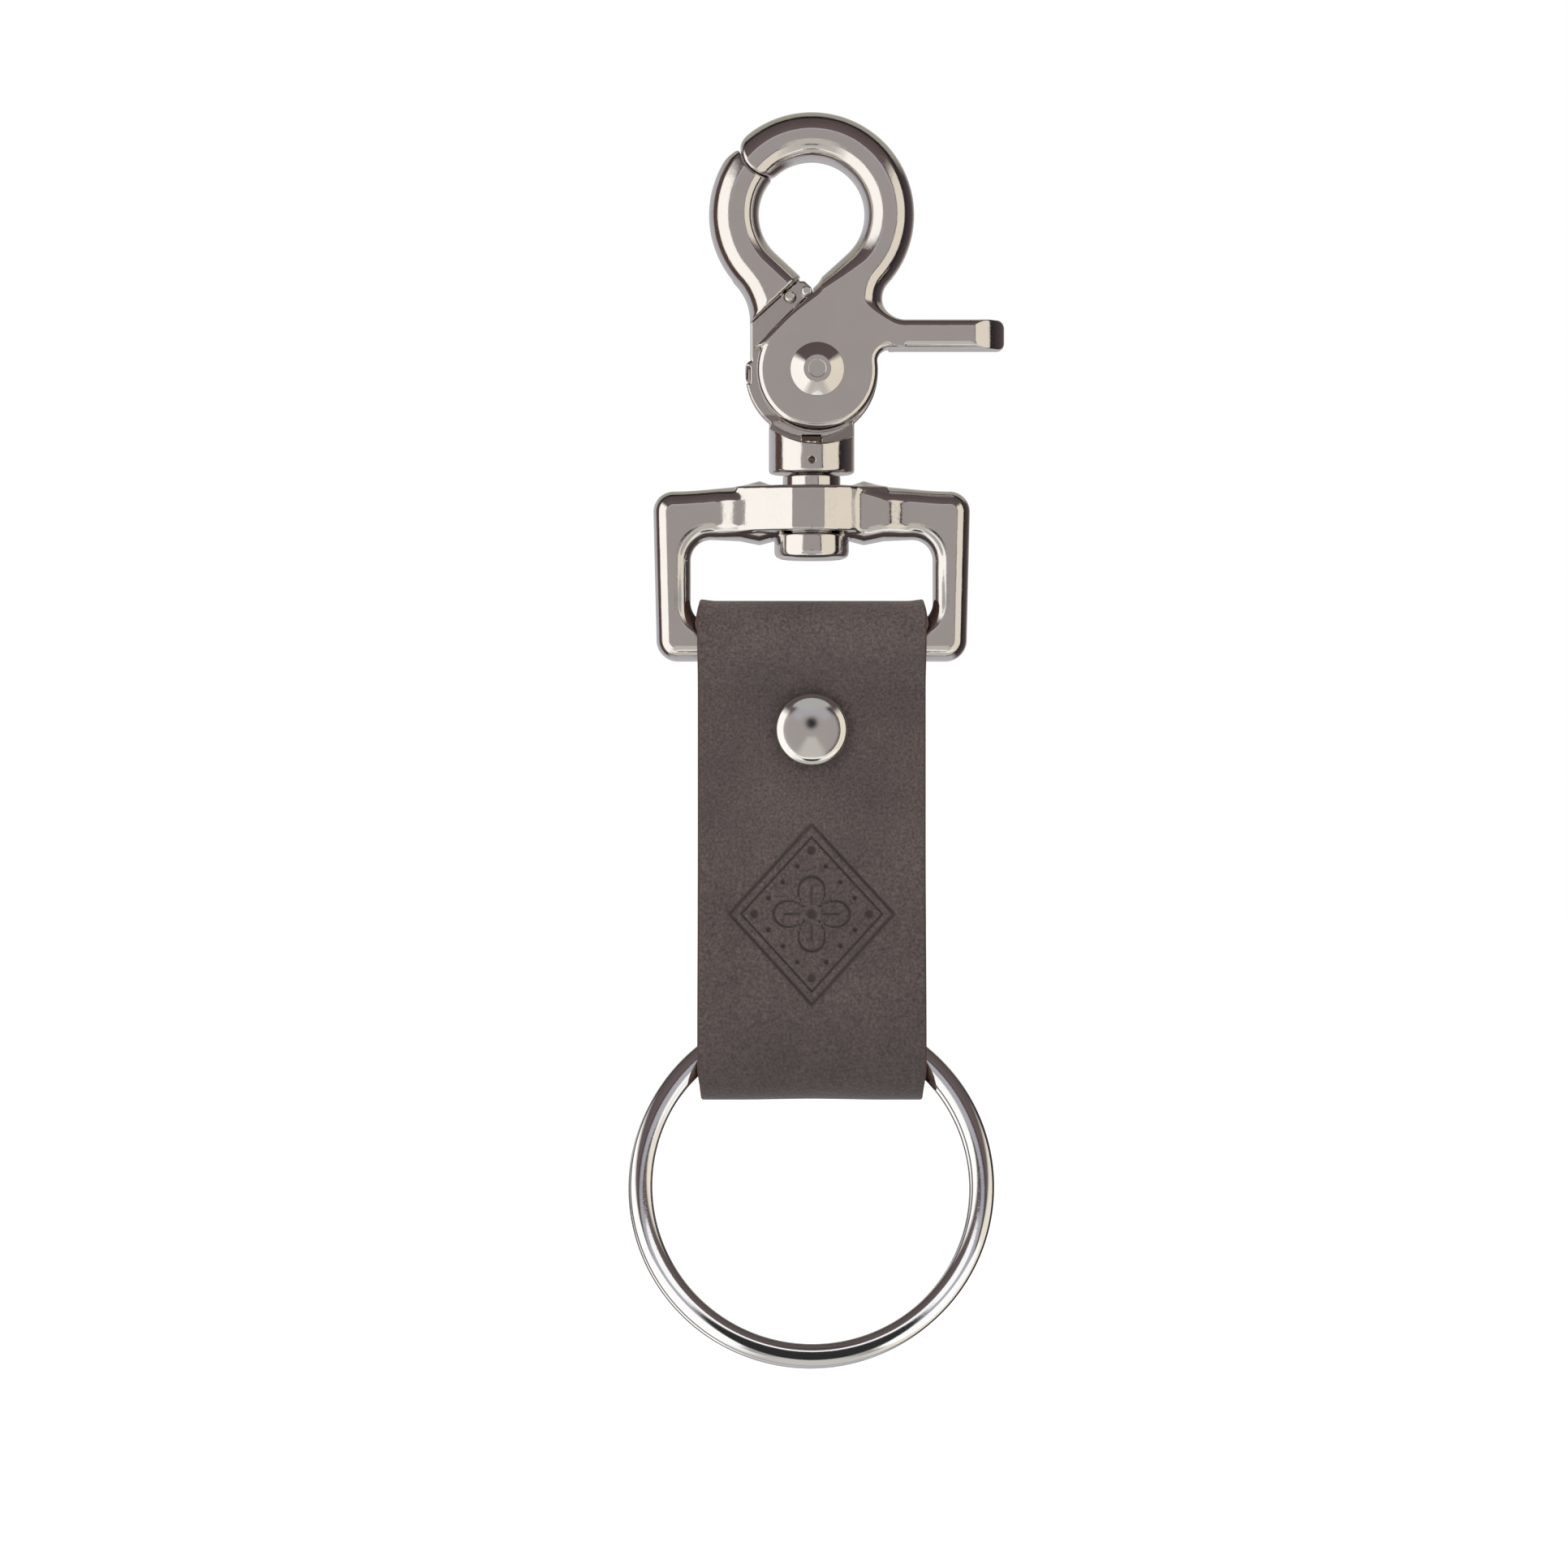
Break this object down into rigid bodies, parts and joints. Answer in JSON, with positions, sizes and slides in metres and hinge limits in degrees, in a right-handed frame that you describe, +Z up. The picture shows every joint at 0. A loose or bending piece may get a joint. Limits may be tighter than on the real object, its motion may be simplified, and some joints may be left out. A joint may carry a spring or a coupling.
{
  "type": "leather keychain",
  "caption": "Leather strap key fob, folded round a swivelling trigger snap hook's loop and a split key ring, and closed by a domed cap rivet.",
  "frame": {"origin": "middle of the snap hook's eye, halfway through its depth", "axes": "+Z up along the hanging fob, +X to the right seen from the front, +Y away from the viewer through the eye and the strap"},
  "size_m": [0.0413, 0.0165, 0.1379],
  "materials": {
    "nickel_plate": "polished nickel plate over a die casting, warm grey",
    "spring_steel": "bright drawn spring wire",
    "cap_nickel": "polished nickel plate over pressed brass",
    "taupe_leather": "dark taupe full grain with a soft sheen and burnished red-brown edges",
    "ring_chrome": "bright chromed steel wire"
  },
  "bodies": {
    "hook": {"body_jaw": "nickel_plate", "pivot_rivet": "nickel_plate", "torsion_spring": "spring_steel", "swivel_post": "nickel_plate"},
    "trigger": {"trigger_jaw": "nickel_plate"},
    "loop": {"swivel_loop": "nickel_plate"},
    "strap": {"leather_strap": "taupe_leather", "rivet_front_cap": "cap_nickel", "rivet_rear_cap": "cap_nickel", "rivet_socket": "cap_nickel", "rivet_post": "cap_nickel"},
    "ring": {"key_ring": "ring_chrome"}
  },
  "joints": [
    {"name": "trigger_open", "type": "hinge", "parent": "hook", "child": "trigger", "pos_m": [0.0006, 0, -0.0172], "axis": [0, 1, 0], "range_deg": [0, 28], "stiffness_Nm_per_rad": 0.05, "springref_deg": -34.38, "deforming": ["torsion_spring"]},
    {"name": "loop_swivel", "type": "hinge", "parent": "hook", "child": "loop", "pos_m": [0, 0, -0.0299], "axis": [0, 0, 1], "continuous": true},
    {"name": "strap_swing", "type": "hinge", "parent": "loop", "child": "strap", "pos_m": [0, 0, -0.04705], "axis": [1, 0, 0], "range_deg": [-90, 90]},
    {"name": "ring_swing", "type": "hinge", "parent": "strap", "child": "ring", "pos_m": [0, 0, -0.09122], "axis": [1, 0, 0], "range_deg": [0, 30]}
  ]
}
